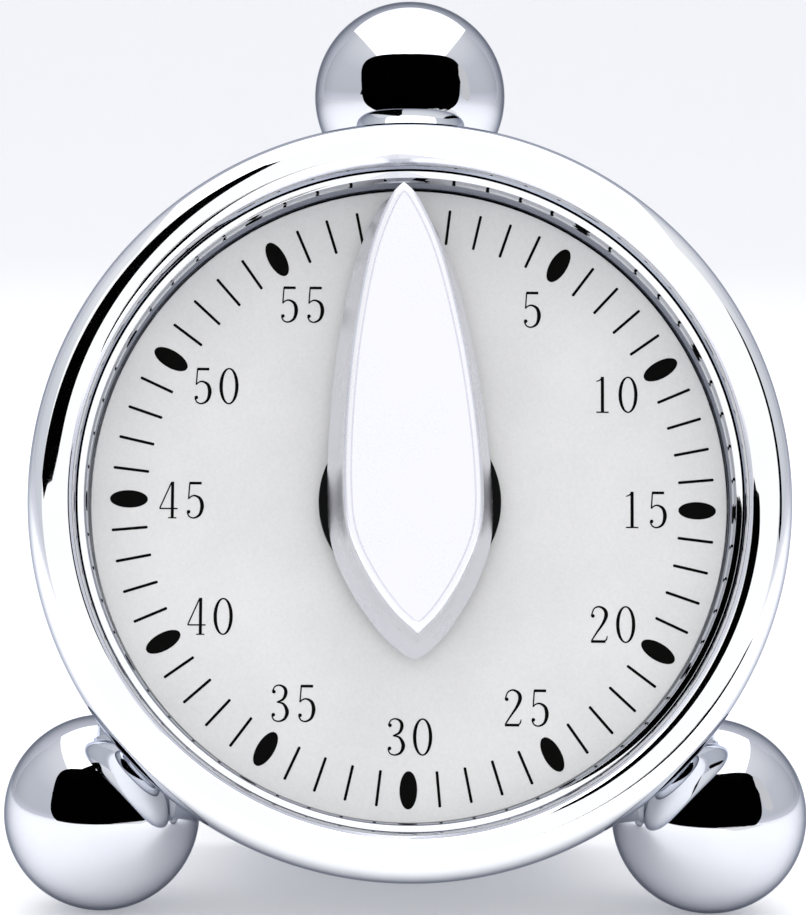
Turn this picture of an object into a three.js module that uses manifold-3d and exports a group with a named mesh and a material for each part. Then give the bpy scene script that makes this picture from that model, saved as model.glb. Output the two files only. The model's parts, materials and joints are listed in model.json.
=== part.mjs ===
// Kitchen timer with a chrome bezel, a drop-shaped pointer knob and three polished balls, as an assembly.
// Millimetres. In the case's own frame the dial's axis is Y, the front looks along -Y and Z is up, with the
// dial's face at y = 0. At the end the whole case leans back and is set down on two balls and its rear rim.
import * as THREE from "three";
import { mergeVertices } from "three/addons/utils/BufferGeometryUtils.js";
import Module from "manifold-3d";

const wasm = await Module();
wasm.setup();

// ---- case ----
const BEZEL_R = 38; // outside of the bezel, 76 mm across
const BEZEL_FRONT = -8.4; // its front crest, in front of the dial
const BEZEL_BORE = 33.1; // inner wall
const RING_EDGE = 32.1; // inner edge of the dial ring, over the dial's rim
const RING_FRONT = -5.7;
const CASE_R = 33.4; // drum, outside
const CASE_WALL = 1.0;
const CASE_BACK = 40.9; // rear edge of the drum
const COVER_BACK = 42.0; // rear face of the back cover
const COVER_CHAMFER = 0.5;
const DIAL_R = 32.3;
const DIAL_T = 0.7;
const CARRIER_Y = [0.9, 1.9];
const SEAT_Y = [2.0, 2.8];
const SEAT_BORE = 30.7;
const LUG_R = 30.4; // pitch radius of the rear lugs
const LUG_ANGLES = [90, 210, 330];

// ---- balls ----
const BALL_R = 9.95;
const BALL_RHO = 43.7; // from the dial's axis to each ball's centre
const BALL_Y = 8.0;
const BALL_ANGLES = { top: 90, left: 225, right: 315 };
const SEAT_FLAT = 34.22; // where each ball is cut flat for its seat
const SCREW_R = 1.0;

// ---- knob ----
const KNOB_FACE = -15.0;
const KNOB_BASE = -2.0;
const KNOB_TURN = 2.1; // degrees anticlockwise of straight up at rest
const KNOB_FLARE = 1.5;
const KNOB_BEVEL = 0.5;
// half width of the front face and height above the axis, from the tip down
const KNOB_OUTLINE = [
  [0, 29.95], [1.45, 28.3], [3.6, 23.1], [5.35, 15.2], [6.38, 7.4],
  [6.78, 0.4], [6.42, -4.3], [4.75, -8.4], [2.3, -12.1], [0, -14.35],
];
const COLLAR_R = 9.15;

// ---- movement ----
const PLATE_R = 30.4;
const FRONT_PLATE = [5.0, 6.0];
const REAR_PLATE = [17.0, 18.0];
const PILLAR_RHO = 28.2;
const PILLAR_ANGLES = [20, 110, 200, 290];
const MAIN = { teeth: 60, module: 0.5, y: [12.6, 13.8] };
const SECOND = { teeth: 50, module: 0.4, y: [15.2, 16.0], pinion: 10, pinionY: [12.2, 14.2] };
const THIRD = { teeth: 48, module: 0.35, y: [8.0, 8.7], pinion: 10, pinionY: [14.9, 16.3] };
const ESCAPE = { teeth: 15, r: 5, y: [14.6, 15.2], pinion: 8, pinionY: [7.6, 9.1] };
const MAIN_AT = [0, 0];
const SECOND_AT = polar(17.5, 40);
const THIRD_AT = meet(MAIN_AT, 18, SECOND_AT, 12, -1);
const ESCAPE_AT = meet(MAIN_AT, 18.5, THIRD_AT, 9.8, -1);
const BALANCE_AT = polar(21.5, -62);
const BALANCE_R = 5.2;
const PALLET_SPREAD = 30; // degrees each side of the line of centres, seen from the escape wheel
const PALLET_R = 0.25;
const SPRING_TURNS = 6;
const SPRING_Y = [6.9, 11.7];

// ---- alarm ----
const HAMMER_AT = polar(24, 75);
const CAM_R = 8.5;
const CAM_Y = [2.4, 4.4];
const FINGER_Y = [3.4, 4.2];
const STOP_AT = polar(11.4, 230);
const KNOB_RANGE = 352; // degrees, clockwise, until the cam's tab comes round to its stop
const STAR_R = 4.0;
const STAR_Y = [18.7, 19.5];
const BELL_AT = [-5, -5];
const BELL_R = 18;
const BELL_Y = 23.5;
const ARM_Y = [26.0, 27.0];

// ---- finishes: colour, roughness, metalness ----
const CHROME = [0xe6e8ec, 0.08, 1];
const SILVER = [0xd9d9d9, 0.45, 0.6];
const STEEL = [0xa9adb1, 0.35, 1];
const BRASS = [0xc9a44a, 0.35, 1];
const BLACK = [0x161617, 0.5, 0];
const BELL_METAL = [0xd8d9da, 0.2, 1];
const SPRING_STEEL = [0x5c636b, 0.35, 1];

const timer = new THREE.Group();

// ---------------------------------------------------------------- helpers
function rad(deg) {
  return (deg * Math.PI) / 180;
}

function polar(r, deg) {
  return [r * Math.cos((deg * Math.PI) / 180), r * Math.sin((deg * Math.PI) / 180)];
}

function angleOf(from, to) {
  return (Math.atan2(to[1] - from[1], to[0] - from[0]) * 180) / Math.PI;
}

function apart(a, b) {
  return Math.hypot(a[0] - b[0], a[1] - b[1]);
}

// the point at distance ra from a and rb from b; side -1 is clockwise of the line from a to b
function meet(a, ra, b, rb, side) {
  const d = Math.hypot(b[0] - a[0], b[1] - a[1]);
  const turn = Math.acos((ra * ra + d * d - rb * rb) / (2 * ra * d));
  const at = Math.atan2(b[1] - a[1], b[0] - a[0]) + side * turn;
  return [a[0] + ra * Math.cos(at), a[1] + ra * Math.sin(at)];
}

function solid(geometry) {
  const g = new THREE.BufferGeometry();
  const source = geometry.index ? geometry.toNonIndexed() : geometry;
  g.setAttribute("position", source.getAttribute("position"));
  const merged = mergeVertices(g, 1e-4);
  const make = (triVerts) =>
    new wasm.Manifold(
      new wasm.Mesh({ numProp: 3, vertProperties: merged.attributes.position.array, triVerts }),
    );
  const found = [];
  const index = merged.index.array;
  for (let i = 0; i < index.length; i += 3) {
    const [a, b, c] = [index[i], index[i + 1], index[i + 2]];
    if (a !== b && b !== c && c !== a) found.push(a, b, c);
  }
  const made = make(new Uint32Array(found));
  if (made.volume() > 0) return made;
  return make(new Uint32Array(found.reverse()));
}

function cut(body, ...others) {
  return others.reduce((a, b) => a.subtract(b), body);
}

function join(body, ...others) {
  return others.reduce((a, b) => a.add(b), body);
}

// a closed profile of [radius, y] turned about the line through [x, z]
function turned(profile, segments, at = [0, 0]) {
  const points = profile.map(([r, y]) => new THREE.Vector2(r, y));
  if (profile[0][0] !== 0 || profile[profile.length - 1][0] !== 0) points.push(points[0].clone());
  return solid(new THREE.LatheGeometry(points, segments).translate(at[0], 0, at[1]));
}

function rod(at, r, y0, y1, segments = 16) {
  return turned([[0, y0], [r, y0], [r, y1], [0, y1]], segments, at);
}

// an outline of [x, z] points carried from y0 to y1
function prism(outline, y0, y1) {
  const shape = new THREE.Shape(outline.map(([x, z]) => new THREE.Vector2(x, z)));
  const g = new THREE.ExtrudeGeometry(shape, { depth: y1 - y0, bevelEnabled: false });
  return solid(g.rotateX(Math.PI / 2).translate(0, y1, 0));
}

function block(x0, x1, y0, y1, z0, z1) {
  return prism([[x0, z0], [x1, z0], [x1, z1], [x0, z1]], y0, y1);
}

// a bar with round ends, r0 wide at a and r1 at b
function bar(a, b, r0, r1, y0, y1, steps = 6) {
  const along = angleOf(a, b);
  const points = [];
  for (let i = 0; i <= steps; i++) {
    const [x, z] = polar(r1, along - 90 + (180 * i) / steps);
    points.push([b[0] + x, b[1] + z]);
  }
  for (let i = 0; i <= steps; i++) {
    const [x, z] = polar(r0, along + 90 + (180 * i) / steps);
    points.push([a[0] + x, a[1] + z]);
  }
  return prism(points, y0, y1);
}

// a Y-turned solid carried out to lie along the direction at this angle about the dial's axis
function radial(made, deg, y) {
  return made.rotate([0, 0, 90]).rotate([0, 180 - deg, 0]).translate([0, y, 0]);
}

function piece(name, made, [color, roughness, metalness]) {
  const m = made.getMesh();
  const g = new THREE.BufferGeometry();
  const position = new Float32Array(m.numVert * 3);
  for (let i = 0; i < m.numVert; i++) {
    position.set(m.vertProperties.subarray(i * m.numProp, i * m.numProp + 3), i * 3);
  }
  g.setAttribute("position", new THREE.BufferAttribute(position, 3));
  g.setIndex(new THREE.BufferAttribute(new Uint32Array(m.triVerts), 1));
  g.computeVertexNormals();
  const mesh = new THREE.Mesh(g, new THREE.MeshStandardMaterial({ color, roughness, metalness }));
  mesh.name = name;
  timer.add(mesh);
}

// ---------------------------------------------------------------- gears
// Involute teeth, 20 degrees, with the pinions made larger and the wheels smaller by the same shift.
function gearOutline(teeth, module, at, phase, isPinion) {
  const pitch = (teeth * module) / 2;
  const base = pitch * Math.cos(rad(20));
  const tip = pitch + module * (isPinion ? (teeth < 10 ? 1.15 : 1.4) : 0.6);
  const root = pitch - module * (isPinion ? 0.85 : 1.65);
  const thick = module * (isPinion ? 1.862 : 1.28) - 0.06;
  const inv = (a) => Math.tan(a) - a;
  const half = (r) => {
    const a = Math.acos(Math.min(1, base / Math.max(r, base)));
    return thick / (2 * pitch) + inv(rad(20)) - inv(a);
  };
  const radii = isPinion ? [root, pitch, tip] : [root, tip];
  const points = [];
  for (let i = 0; i < teeth; i++) {
    const middle = rad(phase) + (2 * Math.PI * i) / teeth;
    for (const r of radii) {
      points.push([at[0] + r * Math.cos(middle - half(r)), at[1] + r * Math.sin(middle - half(r))]);
    }
    for (const r of [...radii].reverse()) {
      points.push([at[0] + r * Math.cos(middle + half(r)), at[1] + r * Math.sin(middle + half(r))]);
    }
  }
  return points;
}

// the phase that puts a pinion in mesh with a wheel
function meshPhase(wheelAt, wheelTeeth, wheelPhase, pinionAt, pinionTeeth) {
  const line = angleOf(wheelAt, pinionAt);
  return line + 180 + 180 / pinionTeeth - ((wheelPhase - line) * wheelTeeth) / pinionTeeth;
}

const MAIN_PHASE = 0;
const SECOND_PHASE = meshPhase(MAIN_AT, MAIN.teeth, MAIN_PHASE, SECOND_AT, SECOND.pinion);
const THIRD_PHASE = meshPhase(SECOND_AT, SECOND.teeth, SECOND_PHASE, THIRD_AT, THIRD.pinion);
const ESCAPE_PHASE = meshPhase(THIRD_AT, THIRD.teeth, THIRD_PHASE, ESCAPE_AT, ESCAPE.pinion);

// a wheel's arbor with its pinion cut from the same bar
function arborWithPinion(at, r, teeth, module, y, phase, y0, y1) {
  const leaves = prism(gearOutline(teeth, module, at, phase, true), y[0], y[1]);
  const body = rod(at, r, FRONT_PLATE[1] + 0.1, REAR_PLATE[0] - 0.1, 10);
  return join(body, rod(at, 0.5, y0, y1, 10), leaves);
}

// ---------------------------------------------------------------- case
function bezel() {
  const profile = [
    [BEZEL_BORE, -0.1], [BEZEL_BORE, -7.1], [33.8, -8.0], [35.1, BEZEL_FRONT], [36.5, -7.95],
    [37.6, -6.6], [BEZEL_R, -4.8], [BEZEL_R, -2.6], [37.2, -0.9], [34.4, 1.6], [34.4, 3.0],
    [33.5, 3.0], [33.5, -0.1],
  ];
  piece("bezel", turned(profile, 56), CHROME);
}

function dialParts() {
  const outside = BEZEL_BORE - 0.1;
  const ring = [
    [RING_EDGE, -0.1], [RING_EDGE, -3.6], [32.4, -4.0], [32.75, -4.8], [outside - 0.05, RING_FRONT],
    [outside, RING_FRONT], [outside, -0.1],
  ];
  piece("dial_ring", turned(ring, 56), CHROME);
  const hole = rod([0, 0], 3.2, -1, 2, 16);
  piece("dial_plate", cut(rod([0, 0], DIAL_R, 0, DIAL_T, 48), hole), SILVER);
  let carrier = cut(rod([0, 0], DIAL_R - 0.1, ...CARRIER_Y, 48), rod([0, 0], 3.2, 0, 3, 16));
  for (const a of PILLAR_ANGLES) {
    const sunk = [[0, 0.8], [2.3, 0.8], [2.3, 0.95], [1.15, 1.75], [1.15, 2.1], [0, 2.1]];
    carrier = cut(carrier, turned(sunk, 12, polar(PILLAR_RHO, a)));
  }
  carrier = cut(carrier, rod(STOP_AT, 0.42, 0, 3, 10));
  piece("carrier_plate", carrier, STEEL);
  piece("stop_stud", rod(STOP_AT, 0.35, 0.95, 3.1, 10), STEEL);
}

function drum() {
  const inner = CASE_R - CASE_WALL;
  let made = turned([
    [inner, 0], [CASE_R, 0], [CASE_R, CASE_BACK], [inner, CASE_BACK],
    [inner, SEAT_Y[1]], [SEAT_BORE, SEAT_Y[1]], [SEAT_BORE, SEAT_Y[0]], [inner, SEAT_Y[0]],
  ], 48);
  for (const a of Object.values(BALL_ANGLES)) {
    const boss = radial(rod([0, 0], 3.2, CASE_R - 0.5, SEAT_FLAT - 0.1, 16), a, BALL_Y);
    const hole = radial(rod([0, 0], SCREW_R + 0.08, CASE_R - 3, CASE_R + 3, 12), a, BALL_Y);
    made = cut(join(made, boss), hole);
  }
  for (const a of LUG_ANGLES) {
    const at = polar(LUG_R, a);
    const lug = rod(at, 2.4, 36, CASE_BACK, 12).intersect(rod([0, 0], inner + 0.3, 30, 50, 48));
    made = cut(join(made, lug), rod(at, 0.95, 36.8, CASE_BACK + 1, 12));
  }
  piece("case_drum", made, CHROME);
}

function backCover() {
  const c = COVER_CHAMFER;
  let made = turned([
    [0, 41], [CASE_R, 41], [CASE_R, COVER_BACK - c], [CASE_R - c, COVER_BACK], [0, COVER_BACK],
  ], 48);
  for (const x of [-15, -10, -5, 5, 10, 15]) {
    const h = Math.sqrt(20 * 20 - x * x);
    made = cut(made, bar([x, -h + 1.1], [x, h - 1.1], 1.1, 1.1, 40, 43, 4));
  }
  const sink = [[0, 40], [1.05, 40], [1.05, 41.1], [2.15, 41.95], [2.15, 43], [0, 43]];
  for (const a of LUG_ANGLES) made = cut(made, turned(sink, 12, polar(LUG_R, a)));
  piece("back_cover", made, BLACK);
  for (const [i, a] of LUG_ANGLES.entries()) {
    const at = polar(LUG_R, a);
    const head = [[0, 37.2], [0.88, 37.2], [0.88, 41.3], [1.85, 41.95], [0, 41.95]];
    const slot = block(at[0] - 0.25, at[0] + 0.25, 41.6, 44, at[1] - 3, at[1] + 3);
    piece("cover_screw_" + (i + 1), cut(turned(head, 12, at), slot), STEEL);
  }
}

function balls() {
  for (const [name, a] of Object.entries(BALL_ANGLES)) {
    const sphere = solid(new THREE.SphereGeometry(BALL_R, 24, 12)).translate([0, BALL_RHO, 0]);
    const flat = rod([0, 0], 12, 20, SEAT_FLAT, 12);
    const bore = rod([0, 0], SCREW_R + 0.08, 20, 41.3, 10);
    piece("ball_" + name, radial(cut(sphere, flat, bore), a, BALL_Y), CHROME);
    const profile = [
      [0, 30.9], [2.0, 30.9], [2.2, 31.2], [2.2, 32.05], [SCREW_R, 32.05], [SCREW_R, 41.0], [0, 41.0],
    ];
    const slot = block(-0.3, 0.3, 30, 31.5, -3, 3);
    piece("ball_screw_" + name, radial(cut(turned(profile, 10), slot), a, BALL_Y), STEEL);
  }
}

// ---------------------------------------------------------------- knob
// the face outline pushed out by d along its own normals
function knobOutline(d) {
  const curve = new THREE.SplineCurve(KNOB_OUTLINE.map(([w, z]) => new THREE.Vector2(w, z)));
  const right = curve.getPoints(2 * (KNOB_OUTLINE.length - 1));
  const left = right.slice(1, -1).reverse().map((p) => new THREE.Vector2(-p.x, p.y));
  const ring = [...right, ...left];
  const turn = rad(KNOB_TURN);
  return ring.map((p, i) => {
    const before = ring[(i + ring.length - 1) % ring.length];
    const after = ring[(i + 1) % ring.length];
    const way = after.clone().sub(before).normalize();
    const out = new THREE.Vector2(p.x - way.y * d, p.y + way.x * d);
    return [
      out.x * Math.cos(turn) - out.y * Math.sin(turn),
      out.x * Math.sin(turn) + out.y * Math.cos(turn),
    ];
  });
}

// rows of outlines at given depths, closed at both ends
function loft(rows) {
  const points = [];
  const n = rows[0][1].length;
  const at = (row, i) => {
    const [x, z] = rows[row][1][i % n];
    return [x, rows[row][0], z];
  };
  for (let r = 0; r + 1 < rows.length; r++) {
    for (let i = 0; i < n; i++) {
      points.push(...at(r, i), ...at(r, i + 1), ...at(r + 1, i));
      points.push(...at(r, i + 1), ...at(r + 1, i + 1), ...at(r + 1, i));
    }
  }
  for (let i = 0; i < n; i++) {
    const last = rows.length - 1;
    points.push(0, rows[0][0], 0, ...at(0, i + 1), ...at(0, i));
    points.push(0, rows[last][0], 0, ...at(last, i), ...at(last, i + 1));
  }
  const g = new THREE.BufferGeometry();
  g.setAttribute("position", new THREE.BufferAttribute(new Float32Array(points), 3));
  return solid(g);
}

function dOutline(r, flat, steps = 16) {
  const points = [];
  const open = Math.acos(flat / r);
  for (let i = 0; i <= steps; i++) {
    const a = Math.PI / 2 + open + ((2 * Math.PI - 2 * open) * i) / steps;
    points.push([r * Math.cos(a), r * Math.sin(a)]);
  }
  return points;
}

function knob() {
  const depth = KNOB_BASE - KNOB_FACE;
  const rows = [
    [KNOB_FACE, knobOutline(-KNOB_BEVEL)],
    [KNOB_FACE + 0.45, knobOutline(0)],
    [KNOB_FACE + 0.4 * depth, knobOutline(KNOB_FLARE * 0.12)],
    [KNOB_FACE + 0.7 * depth, knobOutline(KNOB_FLARE * 0.42)],
    [KNOB_FACE + 0.88 * depth, knobOutline(KNOB_FLARE * 0.75)],
    [KNOB_BASE, knobOutline(KNOB_FLARE)],
  ];
  const bore = prism(dOutline(2.06, 1.36), -11.2, 0);
  piece("knob", cut(loft(rows), bore), CHROME);
  const ring = turned([
    [2.08, -0.4], [2.08, -1.8], [COLLAR_R - 0.3, -1.8], [COLLAR_R, -1.5], [COLLAR_R, -0.4],
  ], 36);
  piece("knob_collar", ring, BLACK);
}

// ---------------------------------------------------------------- movement
function plates() {
  const holes = (solidPlate, y, list) =>
    list.reduce((s, [at, r]) => cut(s, rod(at, r, y - 1, y + 5, r > 1.5 ? 18 : 12)), solidPlate);
  let front = rod([0, 0], PLATE_R, FRONT_PLATE[0], FRONT_PLATE[1], 40);
  const arbors = [[SECOND_AT, 0.55], [THIRD_AT, 0.55], [ESCAPE_AT, 0.55], [BALANCE_AT, 0.55]];
  for (const a of PILLAR_ANGLES) {
    front = join(front, rod(polar(PILLAR_RHO, a), 2.0, CARRIER_Y[1] + 0.1, FRONT_PLATE[0] + 0.5, 10));
  }
  front = cut(front, ...PILLAR_ANGLES.map((a) => rod(polar(PILLAR_RHO, a), 0.95, 1, 7, 10)));
  front = holes(front, 3, [[MAIN_AT, 2.06], [HAMMER_AT, 0.86], ...arbors]);
  piece("front_plate", front, BRASS);
  let rear = rod([0, 0], PLATE_R, REAR_PLATE[0], REAR_PLATE[1], 40);
  const studs = PILLAR_ANGLES.map((a) => [polar(PILLAR_RHO, a), 0.98]);
  rear = holes(rear, 15, [[MAIN_AT, 1.27], [HAMMER_AT, 0.86], [BELL_AT, 1.45], ...arbors, ...studs]);
  piece("rear_plate", rear, BRASS);
}

function pillars() {
  for (const [i, a] of PILLAR_ANGLES.entries()) {
    const at = polar(PILLAR_RHO, a);
    const post = turned([
      [0, 6.1], [1.6, 6.1], [1.6, 16.9], [0.9, 16.9], [0.9, 20.0], [0, 20.0],
    ], 10, at);
    piece("pillar_" + (i + 1), cut(post, rod(at, 0.86, 5, 11.2, 10)), STEEL);
    const hexagon = [...Array(6).keys()].map((k) => {
      const [x, z] = polar(2.0, a + 60 * k);
      return [at[0] + x, at[1] + z];
    });
    const nut = cut(prism(hexagon, 18.1, 19.5), rod(at, 0.97, 17, 21, 10));
    piece("pillar_nut_" + (i + 1), nut, BRASS);
    const screw = turned([
      [0, 1.0], [2.0, 1.0], [0.8, 1.85], [0.8, 11.0], [0, 11.0],
    ], 10, at);
    piece("movement_screw_" + (i + 1), screw, STEEL);
  }
}

function mainArbor() {
  const body = turned([
    [0, -1.0], [2.0, -1.0], [2.0, 6.1], [2.4, 6.1], [2.4, 12.5], [1.8, 12.5], [1.8, 16.9],
    [1.2, 16.9], [1.2, 18.5], [0, 18.5],
  ], 20);
  const nose = prism(dOutline(2.0, 1.3), -11.0, -0.9);
  piece("main_arbor", join(body, nose), STEEL);
  const teeth = prism(gearOutline(MAIN.teeth, MAIN.module, MAIN_AT, MAIN_PHASE, false), ...MAIN.y);
  const pivot = polar(7.4, 120);
  const wheel = cut(teeth, rod(MAIN_AT, 1.87, 12, 15, 18), rod(pivot, 0.56, 12, 15, 12));
  piece("main_wheel", wheel, BRASS);
  const saw = [];
  for (let k = 0; k < 18; k++) saw.push(polar(5.0, 20 * k), polar(4.25, 20 * k + 1.5));
  piece("ratchet_wheel", cut(prism(saw, 14.0, 14.9), rod(MAIN_AT, 1.83, 13, 16, 18)), STEEL);
  const tip = polar(5.4, 82);
  const click = join(bar(pivot, tip, 1.0, 0.3, 13.95, 14.9, 4), rod(pivot, 0.5, 12.7, 14.4, 12));
  piece("click", click, STEEL);
}

function mainspring() {
  const outer = [];
  const inner = [];
  const steps = SPRING_TURNS * 14;
  for (let i = 0; i <= steps; i++) {
    const r = 2.75 + ((8.9 - 2.75) * i) / steps;
    const [x, z] = polar(r, 200 + (360 * SPRING_TURNS * i) / steps);
    const [u, w] = polar(r - 0.28, 200 + (360 * SPRING_TURNS * i) / steps);
    outer.push([x, z]);
    inner.push([u, w]);
  }
  piece("mainspring", prism([...outer, ...inner.reverse()], ...SPRING_Y), SPRING_STEEL);
  const at = polar(9.75, 200);
  piece("spring_stud", rod(at, 0.6, 6.1, 12.0, 12), STEEL);
}

function train() {
  const second = arborWithPinion(
    SECOND_AT, 1.0, SECOND.pinion, MAIN.module, SECOND.pinionY, SECOND_PHASE, 4.8, 19.9);
  piece("second_arbor", second, STEEL);
  const secondTeeth = gearOutline(SECOND.teeth, SECOND.module, SECOND_AT, SECOND_PHASE, false);
  piece("second_wheel", cut(prism(secondTeeth, ...SECOND.y), rod(SECOND_AT, 1.03, 15, 17, 14)), BRASS);
  const third = arborWithPinion(
    THIRD_AT, 0.9, THIRD.pinion, SECOND.module, THIRD.pinionY, THIRD_PHASE, 4.8, 18.3);
  piece("third_arbor", third, STEEL);
  const thirdTeeth = gearOutline(THIRD.teeth, THIRD.module, THIRD_AT, THIRD_PHASE, false);
  piece("third_wheel", cut(prism(thirdTeeth, ...THIRD.y), rod(THIRD_AT, 0.93, 7, 10, 14)), BRASS);
  const last = arborWithPinion(
    ESCAPE_AT, 0.8, ESCAPE.pinion, THIRD.module, ESCAPE.pinionY, ESCAPE_PHASE, 4.8, 18.3);
  piece("escape_arbor", last, STEEL);
}

function escapement() {
  const line = angleOf(ESCAPE_AT, BALANCE_AT);
  const step = 360 / ESCAPE.teeth;
  const points = [];
  for (let k = 0; k < ESCAPE.teeth; k++) {
    const at = line + step * (k + 0.5);
    for (const [r, a] of [[3.7, -3.6], [ESCAPE.r, -0.8], [ESCAPE.r, 0.8], [3.7, 3.6]]) {
      const [x, z] = polar(r, at + a);
      points.push([ESCAPE_AT[0] + x, ESCAPE_AT[1] + z]);
    }
  }
  piece("escape_wheel", cut(prism(points, ...ESCAPE.y), rod(ESCAPE_AT, 0.83, 14, 16, 14)), BRASS);
  const staff = join(
    rod(BALANCE_AT, 0.8, FRONT_PLATE[1] + 0.1, REAR_PLATE[0] - 0.1, 14),
    rod(BALANCE_AT, 0.5, 4.8, 18.3, 12),
  );
  piece("balance_staff", staff, STEEL);
  const y = [9.8, 11.2];
  let balance = cut(rod(BALANCE_AT, BALANCE_R, ...y, 28), rod(BALANCE_AT, BALANCE_R - 1.2, 9, 12, 28));
  balance = join(
    balance,
    rod(BALANCE_AT, 1.6, ...y, 16),
    block(BALANCE_AT[0] - 4.4, BALANCE_AT[0] + 4.4, ...y, BALANCE_AT[1] - 0.6, BALANCE_AT[1] + 0.6),
  );
  piece("balance_wheel", cut(balance, rod(BALANCE_AT, 0.83, 9, 12, 14)), BRASS);
  let lever = rod(BALANCE_AT, 1.7, 13.3, 14.2, 16);
  for (const side of [-1, 1]) {
    const [x, z] = polar(ESCAPE.r + PALLET_R + 0.12, line + side * PALLET_SPREAD);
    const pin = [ESCAPE_AT[0] + x, ESCAPE_AT[1] + z];
    lever = join(lever, bar(BALANCE_AT, pin, 1.0, 0.45, 13.3, 14.2, 4), rod(pin, PALLET_R, 13.8, 15.8, 10));
  }
  piece("pallet_lever", cut(lever, rod(BALANCE_AT, 0.83, 13, 15, 14)), STEEL);
}

// ---------------------------------------------------------------- alarm
// a lever from the hammer's arbor to a knee outside a round part, then in to its nose
function lever(centre, tip, knee, r0, r1, y) {
  const d = apart(centre, tip);
  const out = [0, 1].map((k) => centre[k] + ((tip[k] - centre[k]) * (d + knee)) / d);
  return join(bar(HAMMER_AT, out, r0, r1 + 0.2, ...y, 6), bar(out, tip, r1 + 0.2, r1, ...y, 6));
}

// where a nose of radius r rests beside a round of radius R, on the side the hammer turns towards
function nose(centre, R, r, gap) {
  const reach = R + r + gap;
  const d = apart(HAMMER_AT, centre);
  const length = Math.sqrt(d * d - reach * reach);
  const [x, z] = polar(length, angleOf(HAMMER_AT, centre) - (Math.asin(reach / d) * 180) / Math.PI);
  return [HAMMER_AT[0] + x, HAMMER_AT[1] + z];
}

function alarm() {
  const fingerTip = nose(MAIN_AT, CAM_R, 0.8, 0.2);
  const at = angleOf(MAIN_AT, fingerTip);
  const outline = [];
  for (let k = 0; k <= 36; k++) {
    outline.push(polar(CAM_R, at + 9.5 + ((360 - 28) * k) / 36));
  }
  outline.push(polar(6.3, at - 18.5), polar(6.2, at - 4), polar(6.3, at + 9.5));
  const tabAt = angleOf(MAIN_AT, STOP_AT) - (360 - KNOB_RANGE) / 2;
  const side = polar(0.28, tabAt + 90);
  const [x, z] = polar(11.9, tabAt);
  const [u, w] = polar(7.0, tabAt);
  const tab = prism([
    [u - side[0], w - side[1]], [x - side[0], z - side[1]],
    [x + side[0], z + side[1]], [u + side[0], w + side[1]],
  ], CAM_Y[0], 3.2);
  const cam = cut(join(prism(outline, ...CAM_Y), tab), rod(MAIN_AT, 2.03, 2, 5, 20));
  piece("strike_cam", cam, BLACK);

  const arbor = join(
    rod(HAMMER_AT, 1.0, FRONT_PLATE[1] + 0.1, REAR_PLATE[0] - 0.1, 14),
    rod(HAMMER_AT, 0.8, 3.0, 28.0, 14),
  );
  piece("hammer_arbor", arbor, STEEL);
  const bored = (made) => cut(made, rod(HAMMER_AT, 0.83, 0, 40, 14));
  const hub = (y) => rod(HAMMER_AT, 1.9, y[0], y[1], 16);
  const finger = join(hub(FINGER_Y), lever(MAIN_AT, fingerTip, 2.7, 1.2, 0.8, FINGER_Y));
  piece("hammer_finger", bored(finger), STEEL);
  const tailTip = nose(SECOND_AT, STAR_R, 0.4, 0.15);
  const tail = join(hub(STAR_Y), lever(SECOND_AT, tailTip, 1.7, 1.0, 0.4, STAR_Y));
  piece("hammer_tail", bored(tail), STEEL);

  const headAt = nose(BELL_AT, BELL_R, 2.0, 2.0);
  const arm = join(hub(ARM_Y), bar(HAMMER_AT, headAt, 1.1, 1.5, ...ARM_Y, 6));
  piece("hammer_arm", bored(cut(arm, rod(headAt, 0.86, 25, 28, 14))), STEEL);
  const head = join(rod(headAt, 2.0, ARM_Y[1] + 0.1, 30.2, 18), rod(headAt, 0.8, ARM_Y[0] - 0.6, 28, 14));
  piece("hammer_head", head, BRASS);

  const star = [];
  const toTail = angleOf(SECOND_AT, tailTip);
  for (let k = 0; k < 8; k++) {
    const mid = toTail + 22.5 + 45 * k;
    for (const [r, a] of [[2.4, -7], [STAR_R, -2], [STAR_R, 2], [2.4, 7]]) {
      const [sx, sz] = polar(r, mid + a);
      star.push([SECOND_AT[0] + sx, SECOND_AT[1] + sz]);
    }
  }
  piece("star_wheel", cut(prism(star, ...STAR_Y), rod(SECOND_AT, 0.53, 18, 21, 12)), STEEL);
}

function bell() {
  const y = BELL_Y;
  const R = BELL_R;
  const dome = turned([
    [R, y], [R, y + 6.5], [R - 1.0, y + 9.2], [R - 4, y + 11.4], [1.5, y + 12.4],
    [1.5, y + 11.6], [R - 4.4, y + 10.6], [R - 1.7, y + 8.8], [R - 0.8, y + 6.4], [R - 0.8, y],
  ], 36, BELL_AT);
  piece("bell", dome, BELL_METAL);
  const post = turned([
    [0, 17.05], [1.4, 17.05], [1.4, 18.1], [2.6, 18.1], [2.6, y + 11.5],
    [1.4, y + 11.5], [1.4, 38.4], [0, 38.4],
  ], 14, BELL_AT);
  piece("bell_post", post, STEEL);
  const hexagon = [...Array(6).keys()].map((k) => {
    const [x, z] = polar(3.1, 60 * k);
    return [BELL_AT[0] + x, BELL_AT[1] + z];
  });
  piece("bell_nut", cut(prism(hexagon, y + 12.5, y + 14.3), rod(BELL_AT, 1.46, 30, 40, 16)), STEEL);
}

bezel();
dialParts();
drum();
backCover();
balls();
knob();
plates();
pillars();
mainArbor();
mainspring();
train();
escapement();
alarm();
bell();

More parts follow.
